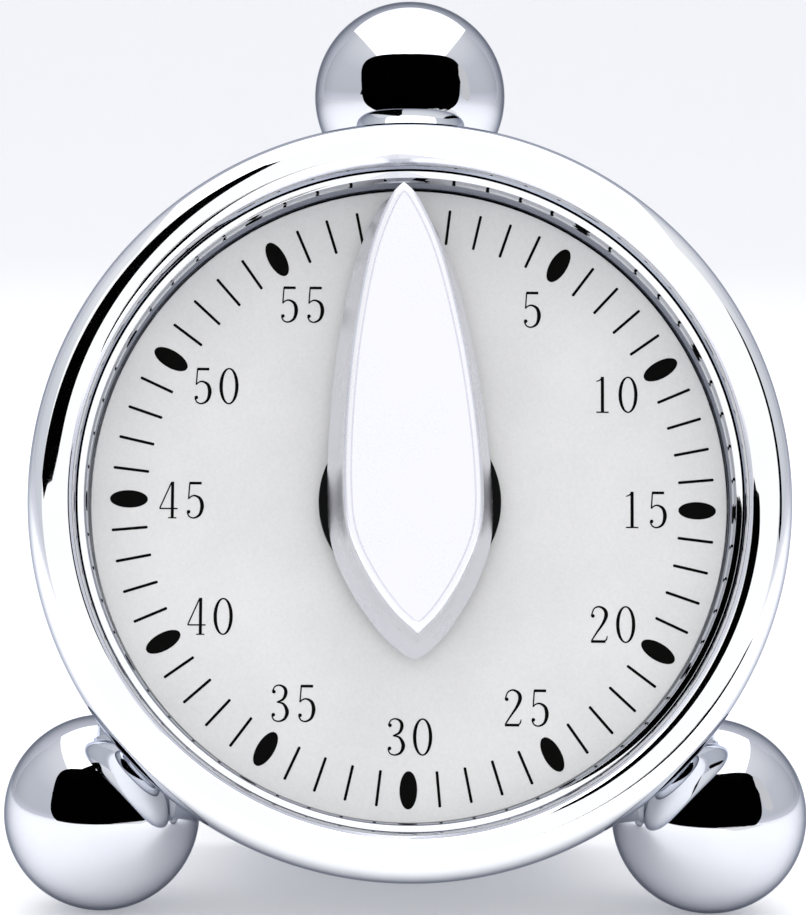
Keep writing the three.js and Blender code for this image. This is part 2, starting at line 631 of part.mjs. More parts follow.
// ---------------------------------------------------------------- set it down
// The lean at which the two lower balls and the cover's rim touch the floor together.
const rimY = COVER_BACK - COVER_CHAMFER;
const drop = -BALL_RHO * Math.sin(rad(BALL_ANGLES.left));
const LEAN = Math.asin(BALL_R / Math.hypot(rimY - BALL_Y, CASE_R - drop)) -
  Math.atan2(CASE_R - drop, rimY - BALL_Y);
timer.rotation.x = -LEAN;
timer.updateMatrixWorld(true);
const box = new THREE.Box3().setFromObject(timer, true);
timer.position.set(-(box.min.x + box.max.x) / 2, -(box.min.y + box.max.y) / 2, -box.min.z);

export default timer;
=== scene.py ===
import json
import math

import bmesh
import bpy
from mathutils import Matrix, Vector

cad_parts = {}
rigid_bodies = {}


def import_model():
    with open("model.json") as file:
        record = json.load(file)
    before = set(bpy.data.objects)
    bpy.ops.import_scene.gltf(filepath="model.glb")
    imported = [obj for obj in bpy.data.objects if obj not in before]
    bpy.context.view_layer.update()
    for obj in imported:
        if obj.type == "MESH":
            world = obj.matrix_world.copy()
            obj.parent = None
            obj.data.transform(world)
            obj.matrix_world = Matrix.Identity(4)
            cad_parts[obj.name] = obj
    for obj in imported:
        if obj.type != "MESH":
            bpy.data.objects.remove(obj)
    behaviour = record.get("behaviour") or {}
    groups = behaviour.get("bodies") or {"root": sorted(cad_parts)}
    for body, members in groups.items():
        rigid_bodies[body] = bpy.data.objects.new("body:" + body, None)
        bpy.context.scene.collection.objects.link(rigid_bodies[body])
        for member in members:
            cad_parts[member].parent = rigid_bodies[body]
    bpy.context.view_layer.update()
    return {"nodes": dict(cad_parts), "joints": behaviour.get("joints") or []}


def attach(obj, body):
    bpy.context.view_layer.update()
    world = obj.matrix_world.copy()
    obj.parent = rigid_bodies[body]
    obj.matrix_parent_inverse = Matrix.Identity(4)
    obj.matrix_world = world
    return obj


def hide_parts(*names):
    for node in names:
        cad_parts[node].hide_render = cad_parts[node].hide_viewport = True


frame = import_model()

cad = frame["nodes"]

# ---- The case's own frame -------------------------------------------------------------------
# The timer leans back from its two lower balls to the back cover's rim. Its pieces are drawn in millimetres
# about the dial's axis: x to the right, y into the case with the dial's face at 0, z up the dial. CASE carries
# them to where they stand.
MM = 0.001
JOINT_BEHIND_DIAL = 8.0  # the knob joint's point lies this far behind the dial's face
knob_joint = next(joint for joint in frame["joints"] if joint["name"] == "knob_turn")
inwards = Vector(knob_joint["axis"]).normalized()
across = Vector((1.0, 0.0, 0.0))
upwards = across.cross(inwards)
dial_centre = Vector(knob_joint["pos_m"]) - inwards * JOINT_BEHIND_DIAL * MM
CASE = Matrix.Translation(dial_centre) @ Matrix((across, inwards, upwards)).transposed().to_4x4()

# ---- Drum -----------------------------------------------------------------------------------
# The case is a can deep-drawn from 1 mm steel sheet, polished and chrome plated. Its rear edge is turned
# smooth, three lugs inside it take the cover's screws, and three low bosses outside it seat the balls.
DRUM_R = 33.4
DRUM_INNER = 32.4
DRUM_BACK = 40.9
LUG_RHO = 30.4
LUG_R = 2.3
LUG_ANGLES = (90, 210, 330)
BALL_Y = 8.0
BALL_ANGLES = {"top": 90, "left": 225, "right": 315}
BOSS_R = 3.2
BOSS_TOP = 34.12
SCREW_HOLE = 1.08
FULL_TURN = 2 * math.pi


def polar(radius, degrees):
    return radius * math.cos(math.radians(degrees)), radius * math.sin(math.radians(degrees))


def piece_from(name, mesh, place=CASE):
    """an object with its mesh carried to its place, smooth but for its real edges"""
    mesh.transform(place)
    mesh.shade_smooth()
    mesh.set_sharp_from_angle(angle=math.radians(40))
    made = bpy.data.objects.new(name, mesh)
    bpy.context.scene.collection.objects.link(made)
    return made


def turned(name, profile, steps=160, place=CASE):
    """a profile of (radius, y) turned about the dial's axis, closed on itself or ending on the axis"""
    shape = bmesh.new()
    on_axis = [abs(r) < 1e-6 for r, y in profile]
    columns = []
    for (r, y), central in zip(profile, on_axis):
        count = 1 if central else steps
        turns = [FULL_TURN * k / steps for k in range(count)]
        columns.append([shape.verts.new((r * MM * math.cos(a), y * MM, r * MM * math.sin(a))) for a in turns])
    pairs = list(zip(columns, columns[1:]))
    if not on_axis[0]:
        pairs.append((columns[-1], columns[0]))
    for one, two in pairs:
        for k in range(steps):
            nxt = (k + 1) % steps
            corners = [one[k % len(one)], one[nxt % len(one)], two[nxt % len(two)], two[k % len(two)]]
            corners = list(dict.fromkeys(corners))
            if len(corners) > 2:
                shape.faces.new(corners)
    bmesh.ops.recalc_face_normals(shape, faces=shape.faces)
    mesh = bpy.data.meshes.new(name)
    shape.to_mesh(mesh)
    shape.free()
    return piece_from(name, mesh, place)


def prism(name, outline, y0, y1, place=CASE):
    """a flat outline of (x, z) points carried from y0 to y1"""
    shape = bmesh.new()
    near = [shape.verts.new((x * MM, y0 * MM, z * MM)) for x, z in outline]
    far = [shape.verts.new((x * MM, y1 * MM, z * MM)) for x, z in outline]
    shape.faces.new(near)
    shape.faces.new(far)
    for k in range(len(outline)):
        nxt = (k + 1) % len(outline)
        shape.faces.new((near[k], near[nxt], far[nxt], far[k]))
    bmesh.ops.recalc_face_normals(shape, faces=shape.faces)
    mesh = bpy.data.meshes.new(name)
    shape.to_mesh(mesh)
    shape.free()
    return piece_from(name, mesh, place)


def worked(body, tool, operation):
    """cuts the tool out of the body, or joins it on, and throws the tool away"""
    step = body.modifiers.new("work", "BOOLEAN")
    step.operation = operation
    step.object = tool
    step.solver = "EXACT"
    bpy.context.view_layer.update()
    evaluated = body.evaluated_get(bpy.context.evaluated_depsgraph_get())
    mesh = bpy.data.meshes.new_from_object(evaluated)
    mesh.name = body.name
    body.modifiers.clear()
    body.data = mesh
    mesh.shade_smooth()
    mesh.set_sharp_from_angle(angle=math.radians(40))
    bpy.data.objects.remove(tool)


def keep_flats_flat(piece):
    """large faces set the normals, so small roundings do not bend the flats beside them"""
    piece.modifiers.new("flats", "WEIGHTED_NORMAL").keep_sharp = True


def rounded(corners, radius, steps=5):
    """an open or closed run of corners with each inner one rounded; a corner may carry its own radius"""
    points = [corners[0][:2]]
    for before, corner, after in zip(corners, corners[1:], corners[2:]):
        here = Vector(corner[:2])
        size = corner[2] if len(corner) > 2 else radius
        to_before = Vector(before[:2]) - here
        to_after = Vector(after[:2]) - here
        reach = min(size, to_before.length * 0.49, to_after.length * 0.49)
        start = here + to_before.normalized() * reach
        end = here + to_after.normalized() * reach
        for k in range(steps + 1):
            t = k / steps
            points.append(tuple(start * (1 - t) ** 2 + here * 2 * t * (1 - t) + end * t**2))
    points.append(corners[-1][:2])
    return points


def radial_place(degrees, y):
    """a place whose y axis points straight out from the drum at this angle"""
    turn = Matrix.Rotation(math.radians(degrees - 90), 4, "Y").inverted()
    return CASE @ Matrix.Translation((0, y * MM, 0)) @ turn @ Matrix.Rotation(math.radians(90), 4, "X")


def ride(piece, body, slot, finish, *nodes):
    """sets a piece's finish and body, and hides the CAD nodes that it stands for; its slot is not used"""
    piece.data.materials.clear()
    piece.data.materials.append(finish)
    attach(piece, body)
    if nodes:
        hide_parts(*nodes)


def linear(code):
    """an sRGB hex colour as linear RGBA"""
    parts = [int(code[k : k + 2], 16) / 255 for k in (0, 2, 4)]
    return tuple(v / 12.92 if v <= 0.04045 else ((v + 0.055) / 1.055) ** 2.4 for v in parts) + (1.0,)


def add(tree, kind, inputs=(), **settings):
    """adds a node with its settings, and links or fills its inputs, given as (socket, value) pairs"""
    made = tree.nodes.new(kind)
    for key, value in settings.items():
        setattr(made, key, value)
    for key, value in inputs:
        if isinstance(value, bpy.types.NodeSocket):
            tree.links.new(value, made.inputs[key])
        else:
            made.inputs[key].default_value = value
    return made


def finish_of(name, **values):
    """a new material, with plain values on its shader's own sockets"""
    made = bpy.data.materials.new(name)
    made.use_nodes = True
    shader = made.node_tree.nodes["Principled BSDF"]
    for key, value in values.items():
        shader.inputs[key.replace("_", " ")].default_value = value
    place = add(made.node_tree, "ShaderNodeTexCoord").outputs["Object"]
    return made, made.node_tree, shader, place


def noise(tree, place, size, detail):
    """a noise whose largest grains are this many metres wide"""
    return add(tree, "ShaderNodeTexNoise", [
        ("Vector", place), ("Scale", 1 / size), ("Detail", detail)]).outputs["Fac"]


def two_tones(tree, socket, share, one, two):
    """two colours mixed by a texture"""
    tint = add(tree, "ShaderNodeMix", [("Factor", share)], data_type="RGBA")
    tint.inputs[6].default_value = linear(one)
    tint.inputs[7].default_value = linear(two)
    tree.links.new(tint.outputs[2], socket)


def roughness(tree, shader, value, low, high, start=0.0, stop=1.0):
    """roughness between low and high as a texture goes from start to stop"""
    rough = add(tree, "ShaderNodeMapRange", [
        ("Value", value), ("From Min", start), ("From Max", stop), ("To Min", low), ("To Max", high)])
    tree.links.new(rough.outputs[0], shader.inputs["Roughness"])


def relief(tree, shader, height, strength, depth):
    """a fine unevenness, this many metres deep"""
    bump = add(tree, "ShaderNodeBump", [("Height", height), ("Strength", strength), ("Distance", depth)])
    tree.links.new(bump.outputs[0], shader.inputs["Normal"])


# Bright chrome plate on polished steel: a mirror a little cooler than silver. Buffing leaves a faint haze in
# patches 6 mm wide, and hairlines 0.4 mm apart, coarser than the real ones so that they show at all.
def chrome_plate(name, light, dark, polish, haze, peel, edge="CDD0D8"):
    made, tree, shader, place = finish_of(name, Metallic=1.0)
    # The edge tint is the colour where the surface turns away from view; set darker than the metal, it paints
    # a dark rim of shade round the outline.
    shader.inputs["Specular Tint"].default_value = linear(edge)
    patches = noise(tree, place, 0.006, 3.0)
    two_tones(tree, shader.inputs["Base Color"], patches, light, dark)
    stretched = add(tree, "ShaderNodeMapping", [("Vector", place), ("Scale", (1.0, 6.0, 1.0))])
    hairs = noise(tree, stretched.outputs[0], 0.0004, 2.0)
    both = add(tree, "ShaderNodeMath", [
        (0, patches), (1, hairs)], operation="MULTIPLY")
    roughness(tree, shader, both.outputs[0], polish, haze, 0.1, 0.5)
    ripple = noise(tree, place, 0.003, 1.0)
    relief(tree, shader, ripple, peel, 0.00002)
    return made


case_chrome = chrome_plate("bright_chrome_plate_on_steel", "DFE1E6", "D6D8DE", 0.015, 0.06, 0.10)

drum_wall = rounded(
    [(DRUM_INNER, 2.8), (30.7, 2.8), (30.7, 2.0), (DRUM_INNER, 2.0), (DRUM_INNER, 0.0), (DRUM_R, 0.0),
     (DRUM_R, DRUM_BACK), (DRUM_INNER, DRUM_BACK), (DRUM_INNER, 2.8)],
    0.25,
)[:-1]
drum = turned("drum", drum_wall, 192)
for angle in LUG_ANGLES:
    x, z = polar(LUG_RHO, angle)
    at_lug = CASE @ Matrix.Translation((x * MM, 0, z * MM))
    lug = [(0, 36.0), (LUG_R, 36.0), (LUG_R, DRUM_BACK - 0.05), (0, DRUM_BACK - 0.05)]
    worked(drum, turned("lug", lug, 24, at_lug), "UNION")
    lug_hole = [(0, 36.8), (0.95, 36.8), (0.95, 42.0), (0, 42.0)]
    worked(drum, turned("lug_hole", lug_hole, 24, at_lug), "DIFFERENCE")
for angle in BALL_ANGLES.values():
    seat = radial_place(angle, BALL_Y)
    boss = [(0, DRUM_INNER + 0.4), (BOSS_R, DRUM_INNER + 0.4), (BOSS_R, BOSS_TOP - 0.2),
            (BOSS_R - 0.2, BOSS_TOP), (0, BOSS_TOP)]
    worked(drum, turned("boss", boss, 48, seat), "UNION")
    boss_hole = [(0, 30.0), (SCREW_HOLE, 30.0), (SCREW_HOLE, 36.0), (0, 36.0)]
    worked(drum, turned("boss_hole", boss_hole, 24, seat), "DIFFERENCE")
ride(drum, "case", "chrome", case_chrome, "case_drum")

# ---- Bezel ----------------------------------------------------------------------------------
# A ring spun from steel sheet and chrome plated, with a full round front and a deep bore down to the dial.
# It is pressed over the front of the drum and holds the dial ring and the dial.
BORE = 33.1
CREST_R = 34.9
CREST_Y = -8.4
BELLY_Y = -3.7
BEZEL_R = 38.0
SKIRT_R = 34.4
FULLNESS = 2.4  # how square the round front is; 2 is an ellipse

outer_front = []
for k in range(33):
    t = math.pi / 2 * (1 - k / 32)
    outer_front.append((
        CREST_R + (BEZEL_R - CREST_R) * max(math.cos(t), 0) ** (2 / FULLNESS),
        BELLY_Y + (CREST_Y - BELLY_Y) * math.sin(t) ** (2 / FULLNESS),
    ))
inner_lip = []
for k in range(20):
    t = math.pi / 2 * k / 20
    inner_lip.append((CREST_R - (CREST_R - BORE) * math.cos(t), CREST_Y + 1.5 * (1 - math.sin(t))))
rear = []
for k in range(1, 22):
    t = math.radians(74) * k / 21
    rear.append((CREST_R + (BEZEL_R - CREST_R) * math.cos(t), BELLY_Y + 4.6 * math.sin(t)))
skirt = rounded([rear[-1], (SKIRT_R, 1.3, 0.8), (SKIRT_R, 3.0, 0.15), (33.5, 3.0, 0.15),
                 (33.5, -0.1, 0.05), (BORE, -0.1)], 0.1)
bezel = turned("bezel_ring", [(BORE, -0.1)] + inner_lip + outer_front + rear + skirt[1:-1], 256)
# Its grey edge tint 9A9EAA paints darker rims of shade where the round front turns away from view.
bezel_chrome = chrome_plate(
    "bright_chrome_plate_on_spun_bezel", "F7F8FA", "F0F2F5", 0.01, 0.045, 0.06, "9A9EAA")
ride(bezel, "case", "chrome", bezel_chrome, "bezel")

# ---- Dial ring ------------------------------------------------------------------------------
# A narrow pressed ring, chrome plated, that lies in the bezel's bore and holds the dial down by its rim.
# Its hollow slope mirrors the ends of the minute marks, and its flat lip leans a little towards the dial.
RING_EDGE = 32.1
ring_profile = rounded(
    [(33.0, -0.1), (RING_EDGE, -0.1), (RING_EDGE, -3.6, 0.08), (32.24, -3.95, 0.3), (32.36, -4.9, 0.06),
     (32.98, -5.12, 0.05), (33.0, -0.1)],
    0.05,
)[:-1]
dial_ring = turned("dial_ring_pressed", ring_profile, 256)
ride(dial_ring, "case", "chrome", bezel_chrome, "dial_ring")

# ---- Dial -----------------------------------------------------------------------------------
# A disc of aluminium 0.7 mm thick, sprayed with satin silver lacquer, with a hole for the arbor.
# Its fine metal flake breaks up the light in grains, drawn 0.25 mm wide so that they show.
DIAL_R = 32.0
DIAL_T = 0.7
DIAL_HOLE = 3.2
silver, tree, shader, place = finish_of("satin_silver_lacquer_on_aluminium", Metallic=0.25, IOR=1.5)
clouds = noise(tree, place, 0.009, 4.0)
flake = add(tree, "ShaderNodeTexVoronoi", [("Vector", place), ("Scale", 1 / 0.00025)])
grain = add(tree, "ShaderNodeMath", [(0, flake.outputs["Color"]), (1, 0.35)], operation="MULTIPLY")
mixed = add(tree, "ShaderNodeMath", [(0, clouds), (1, grain.outputs[0])], operation="ADD")
tone = add(tree, "ShaderNodeMapRange", [("Value", mixed.outputs[0]), ("From Min", 0.35), ("From Max", 0.95)])
two_tones(tree, shader.inputs["Base Color"], tone.outputs[0], "D2D2D3", "DCDCDC")
roughness(tree, shader, mixed.outputs[0], 0.40, 0.52)
relief(tree, shader, flake.outputs["Distance"], 0.06, 0.00003)

dial = turned("dial_disc", rounded(
    [(DIAL_HOLE, 0.0), (DIAL_R, 0.0), (DIAL_R, DIAL_T), (DIAL_HOLE, DIAL_T), (DIAL_HOLE, 0.0)],
    0.08, 3)[:-1], 192)
keep_flats_flat(dial)
ride(dial, "case", "dial_silver", silver, "dial_plate")

# ---- Printed scale --------------------------------------------------------------------------
# The minute scale is screen printed on the dial in black enamel, which stands up about 0.03 mm. It has a line
# for each minute, an oval for each five, and upright serif numerals from 5 to 55. Zero carries no numeral.
INK_FRONT = -0.03
INK_BACK = -0.002
PRINT_TURN = 0.75  # degrees clockwise: the disc is a little askew
PRINT_X, PRINT_Z = 0.4, -0.15  # and the print a little off its centre
TICK_IN, TICK_OUT, TICK_HALF = 26.8, 30.4, 0.14
OVAL_RHO, OVAL_LONG, OVAL_WIDE = 28.6, 1.9, 0.88
NUMERAL_RHO = 23.3
NUMERAL_HEIGHT = 3.7
NUMERAL_PITCH = 2.65
PEN_WEIGHT = 1.22
DIGIT_WIDTH = 0.55  # of the height

print_mesh = bmesh.new()


def band(sections, closed=False):
    """a flat ribbon of ink through cross-sections given as pairs of (x, z) points"""
    rows = []
    for left, right in sections:
        corners = [(left, INK_FRONT), (right, INK_FRONT), (right, INK_BACK), (left, INK_BACK)]
        places = [((p[0] + PRINT_X) * MM, y * MM, (p[1] + PRINT_Z) * MM) for p, y in corners]
        rows.append([print_mesh.verts.new(place) for place in places])
    for one, two in zip(rows, rows[1:] + rows[:1] if closed else rows[1:]):
        for k in range(4):
            print_mesh.faces.new((one[k], one[(k + 1) % 4], two[(k + 1) % 4], two[k]))
    if not closed:
        print_mesh.faces.new(rows[0])
        print_mesh.faces.new(rows[-1])


def blot(x, z, along, wide, degrees, steps=24):
    """an oval of ink with its long axis at this angle"""
    direction = Vector(polar(1, degrees))
    beside = Vector((-direction.y, direction.x))
    sections = []
    for k in range(1, steps):
        a = math.pi * k / steps
        middle = Vector((x, z)) - direction * along * math.cos(a)
        half = beside * wide * math.sin(a)
        sections.append((middle + half, middle - half))
    band(sections)


def stroke(points, to_dial, closed=False, steps=8):
    """a pen stroke through (x, z, half width) points in numeral units, drawn as a smooth curve"""
    count = len(points)
    spans = count if closed else count - 1
    sampled = []
    for span in range(spans):
        ids = [span - 1, span, span + 1, span + 2]
        near = [Vector(points[i % count] if closed else points[min(max(i, 0), count - 1)]) for i in ids]
        for k in range(steps + (0 if closed or span < spans - 1 else 1)):
            t = k / steps
            sampled.append(0.5 * (2 * near[1] + (near[2] - near[0]) * t
                           + (2 * near[0] - 5 * near[1] + 4 * near[2] - near[3]) * t**2
                           + (3 * near[1] - near[0] - 3 * near[2] + near[3]) * t**3))
    sections = []
    for k, here in enumerate(sampled):
        after = sampled[(k + 1) % len(sampled)] if closed else sampled[min(k + 1, len(sampled) - 1)]
        before = sampled[k - 1] if closed or k else here
        way = (after - before).to_2d().normalized()
        side = Vector((-way.y, way.x)) * here.z * PEN_WEIGHT
        sections.append((to_dial(here.to_2d() + side), to_dial(here.to_2d() - side)))
    band(sections, closed)


THIN, HEAVY = 0.015, 0.036
DROP = 0.050  # the round end of a curved stroke
# each numeral's strokes as (x, height, half width) along the pen's way, and its round drops
DIGITS = {
    "0": ([], []),
    "1": ([[(0.29, 0, HEAVY), (0.29, 0.5, HEAVY), (0.29, 0.99, HEAVY)],
           [(0.30, 0.98, 0.02), (0.22, 0.90, THIN), (0.12, 0.86, 0.008)],
           [(0.12, 0.012, THIN), (0.46, 0.012, THIN)]], []),
    "2": ([[(0.06, 0.73, THIN), (0.13, 0.92, THIN), (0.27, 0.98, 0.02), (0.42, 0.90, 0.034),
            (0.46, 0.74, 0.042), (0.37, 0.52, 0.03), (0.20, 0.27, 0.02), (0.06, 0.05, THIN)],
           [(0.05, 0.035, 0.03), (0.44, 0.035, 0.03)],
           [(0.43, 0.05, THIN), (0.47, 0.10, THIN), (0.49, 0.19, 0.01)]],
          [(0.10, 0.73)]),
    "3": ([[(0.07, 0.82, THIN), (0.14, 0.95, THIN), (0.27, 0.985, 0.018), (0.40, 0.91, 0.032),
            (0.43, 0.77, 0.038), (0.36, 0.61, 0.028), (0.19, 0.53, 0.012)],
           [(0.19, 0.53, 0.012), (0.37, 0.48, 0.026), (0.47, 0.28, 0.042), (0.41, 0.09, 0.03),
            (0.26, 0.015, 0.018), (0.12, 0.05, THIN), (0.06, 0.17, THIN)]],
          [(0.11, 0.81), (0.10, 0.19)]),
    "4": ([[(0.35, 0.98, THIN), (0.04, 0.275, THIN)], [(0.03, 0.265, THIN), (0.52, 0.265, THIN)],
           [(0.38, 0, 0.034), (0.38, 1.0, 0.034)], [(0.27, 0.012, 0.013), (0.49, 0.012, 0.013)]], []),
    "5": ([[(0.12, 0.965, 0.03), (0.45, 0.965, 0.03)],
           [(0.13, 0.97, THIN), (0.115, 0.75, THIN), (0.10, 0.53, THIN)],
           [(0.10, 0.53, 0.012), (0.17, 0.60, THIN), (0.28, 0.62, 0.02), (0.42, 0.53, 0.034),
            (0.47, 0.33, 0.042), (0.41, 0.11, 0.03), (0.26, 0.015, 0.018), (0.13, 0.05, THIN),
            (0.07, 0.16, THIN)]],
          [(0.105, 0.18)]),
}
DIGITS["0"][0].append([
    (0.275 + 0.215 * math.sin(a), 0.5 + 0.483 * math.cos(a), 0.016 + 0.022 * abs(math.sin(a)) ** 1.5)
    for a in [FULL_TURN * k / 16 for k in range(16)]
])

for minute in range(60):
    angle = 90 - minute * 6 - PRINT_TURN
    if minute % 5:
        inner = Vector(polar(TICK_IN, angle))
        outer = Vector(polar(TICK_OUT, angle))
        side = Vector(polar(TICK_HALF, angle + 90))
        sections = []
        for share, width in ((0, 0.5), (0.02, 1), (0.98, 1), (1, 0.5)):
            along = inner + (outer - inner) * share
            sections.append((along + side * width, along - side * width))
        band(sections)
        continue
    blot(*polar(OVAL_RHO, angle), OVAL_LONG, OVAL_WIDE, angle)
    for place_no, digit in enumerate(str(minute) if minute else ""):
        middle = Vector(polar(NUMERAL_RHO, angle))
        offset = (place_no - (len(str(minute)) - 1) / 2) * NUMERAL_PITCH
        corner = middle + Vector((offset - DIGIT_WIDTH / 2 * NUMERAL_HEIGHT, -NUMERAL_HEIGHT / 2))
        strokes, drops = DIGITS[digit]
        for points in strokes:
            stroke(points, lambda p: corner + p * NUMERAL_HEIGHT, closed=digit == "0")
        for x, z in drops:
            at = corner + Vector((x, z)) * NUMERAL_HEIGHT
            blot(at.x, at.y, DROP * NUMERAL_HEIGHT, DROP * NUMERAL_HEIGHT, 0, 12)
bmesh.ops.recalc_face_normals(print_mesh, faces=print_mesh.faces)
ink_mesh = bpy.data.meshes.new("printed_scale")
print_mesh.to_mesh(ink_mesh)
print_mesh.free()
scale_print = piece_from("printed_scale", ink_mesh)

# Screen-printed black enamel: nearly black, a little warm where it lies thin, with a soft gloss.
ink, tree, shader, place = finish_of("screen_printed_black_enamel", IOR=1.5, Specular_IOR_Level=0.03)
mottle = noise(tree, place, 0.0008, 3.0)
two_tones(tree, shader.inputs["Base Color"], mottle, "030303", "0B0A09")
roughness(tree, shader, mottle, 0.45, 0.65)
ride(scale_print, "case", "dial_silver", ink)

# ---- Knob collar ----------------------------------------------------------------------------
# A washer of black acetal between the knob and the dial, which turns with the knob.
COLLAR_R = 9.15
COLLAR_HOLE = 2.08
COLLAR_FRONT, COLLAR_BACK = -1.8, -0.4
plastic, tree, shader, place = finish_of("black_acetal_moulded", IOR=1.48, Specular_IOR_Level=0.05)
speck = noise(tree, place, 0.0005, 3.0)
two_tones(tree, shader.inputs["Base Color"], speck, "060607", "0A0A0B")
roughness(tree, shader, speck, 0.35, 0.55)
relief(tree, shader, speck, 0.15, 0.00003)

collar = turned("collar_washer", rounded(
    [(COLLAR_HOLE, COLLAR_BACK), (COLLAR_HOLE, COLLAR_FRONT), (COLLAR_R, COLLAR_FRONT, 0.3),
     (COLLAR_R, COLLAR_BACK), (COLLAR_HOLE, COLLAR_BACK)], 0.1)[:-1], 128)
ride(collar, "knob_and_main_wheel", "black_plastic", plastic, "knob_collar")

# ---- Knob -----------------------------------------------------------------------------------
# A long drop-shaped pointer die-cast in zinc and satin chrome plated. Its face is flat, with a fine line round
# it and a rounded edge. Its sides flare out towards the dial, and a D-shaped bore holds it on the main arbor.
KNOB_FACE = -15.0
KNOB_BASE = -2.0
KNOB_TURN = 2.1  # degrees anticlockwise at rest
KNOB_EDGE = 0.7  # radius of the rounded edge of its face
KNOB_FLARE = 1.5
FLARE_LATENESS = 3.4  # how near the base the sides keep straight before they flare
KNOB_BORE_R = 2.06
KNOB_BORE_FLAT = 1.36
KNOB_BORE_END = -11.2
# half width and height of the face along its right side, from the tip down
KNOB_SIDE = [(0, 29.95), (1.45, 28.3), (3.6, 23.1), (5.35, 15.2), (6.38, 7.4),
             (6.78, 0.4), (6.42, -4.3), (4.75, -8.4), (2.3, -12.1), (0, -14.35)]
SIDE_STEPS = 10


def knob_ring(push):
    """the face's outline moved outwards by push, or inwards if it is negative"""
    sampled = []
    last = len(KNOB_SIDE) - 1
    for span in range(last):
        near = [Vector(KNOB_SIDE[min(max(i, 0), last)]) for i in (span - 1, span, span + 1, span + 2)]
        for k in range(SIDE_STEPS):
            t = k / SIDE_STEPS
            sampled.append(0.5 * (2 * near[1] + (near[2] - near[0]) * t
                           + (2 * near[0] - 5 * near[1] + 4 * near[2] - near[3]) * t**2
                           + (3 * near[1] - near[0] - 3 * near[2] + near[3]) * t**3))
    sampled.append(Vector(KNOB_SIDE[-1]))
    pushed = []
    for k, here in enumerate(sampled):
        if k in (0, len(sampled) - 1):
            way = Vector((1, 0)) if k == 0 else Vector((-1, 0))
        else:
            way = (sampled[k + 1] - sampled[k - 1]).normalized()
        moved = here + Vector((-way.y, way.x)) * push
        pushed.append(Vector((max(moved.x, 0.0), moved.y)))
    top = max(p.y for p in pushed if p.x > 0.02)
    low = min(p.y for p in pushed if p.x > 0.02)
    for p in pushed:
        if push < 0 and p.x == 0:
            p.y = top + 0.02 if p.y > 0 else low - 0.02
    both = pushed + [Vector((-p.x, p.y)) for p in reversed(pushed[1:-1])]
    turn = Matrix.Rotation(math.radians(KNOB_TURN), 2)
    return [turn @ p for p in both]


rows = [(KNOB_FACE, -KNOB_EDGE - 0.35),
        (KNOB_FACE, -KNOB_EDGE - 0.20), (KNOB_FACE + 0.12, -KNOB_EDGE - 0.11),
        (KNOB_FACE, -KNOB_EDGE - 0.02)]
for k in range(7):
    a = math.pi / 2 * k / 6
    rows.append((KNOB_FACE + KNOB_EDGE * (1 - math.cos(a)), KNOB_EDGE * (math.sin(a) - 1)))
for k in range(1, 25):
    share = k / 24
    side_depth = KNOB_BASE - KNOB_FACE - KNOB_EDGE
    rows.append((KNOB_FACE + KNOB_EDGE + side_depth * share, KNOB_FLARE * share**FLARE_LATENESS))
shape = bmesh.new()
loops = []
for y, push in rows:
    loops.append([shape.verts.new((p.x * MM, y * MM, p.y * MM)) for p in knob_ring(push)])
for one, two in zip(loops, loops[1:]):
    for k in range(len(one)):
        nxt = (k + 1) % len(one)
        shape.faces.new((one[k], one[nxt], two[nxt], two[k]))
shape.faces.new(loops[0])
shape.faces.new(loops[-1])
bmesh.ops.remove_doubles(shape, verts=shape.verts, dist=0.00001)
bmesh.ops.recalc_face_normals(shape, faces=shape.faces)
knob_mesh = bpy.data.meshes.new("pointer_knob")
shape.to_mesh(knob_mesh)
shape.free()
knob = piece_from("pointer_knob", knob_mesh)
flat_at = math.acos(KNOB_BORE_FLAT / KNOB_BORE_R)
bore = [polar(KNOB_BORE_R, math.degrees(math.pi / 2 + flat_at + (FULL_TURN - 2 * flat_at) * k / 32))
        for k in range(33)]
worked(knob, prism("bore", bore, KNOB_BORE_END, 0), "DIFFERENCE")
keep_flats_flat(knob)

# Satin chrome plate on zinc: the metal is blasted before plating, so its reflections are soft.
zinc_chrome = chrome_plate("satin_chrome_plate_on_cast_zinc", "EFEFF5", "EAEAF1", 0.24, 0.30, 0.03, "FFFFFF")
ride(knob, "knob_and_main_wheel", "chrome", zinc_chrome, "knob")

# ---- Balls ----------------------------------------------------------------------------------
# Three steel balls, polished and chrome plated. Each is cut flat where it meets its seat on the drum, and a
# screw from inside the drum holds it. The two lower ones are the front feet.
BALL_R = 9.92
BALL_RHO = 43.7
SEAT_FLAT = 34.22
# Their dark edge tint 7E828C paints a thin dark outline of shade round each ball.
ball_chrome = chrome_plate(
    "bright_chrome_plate_on_steel_ball", "DFE1E6", "D6D8DF", 0.012, 0.05, 0.06, "7E828C")
flat_r = math.sqrt(BALL_R**2 - (BALL_RHO - SEAT_FLAT) ** 2)
cut_angle = math.asin(flat_r / BALL_R)
for name, angle in BALL_ANGLES.items():
    half_round = [(0, SEAT_FLAT + 2.0), (SCREW_HOLE, SEAT_FLAT + 2.0), (SCREW_HOLE, SEAT_FLAT),
                  (flat_r - 0.1, SEAT_FLAT)]
    for k in range(65):
        a = math.pi - cut_angle - (math.pi - cut_angle) * k / 64
        half_round.append((BALL_R * math.sin(a) if k < 64 else 0.0, BALL_RHO + BALL_R * math.cos(a)))
    ball = turned("ball_foot_" + name, half_round, 128, radial_place(angle, BALL_Y))
    ride(ball, "case", "chrome", ball_chrome, "ball_" + name)

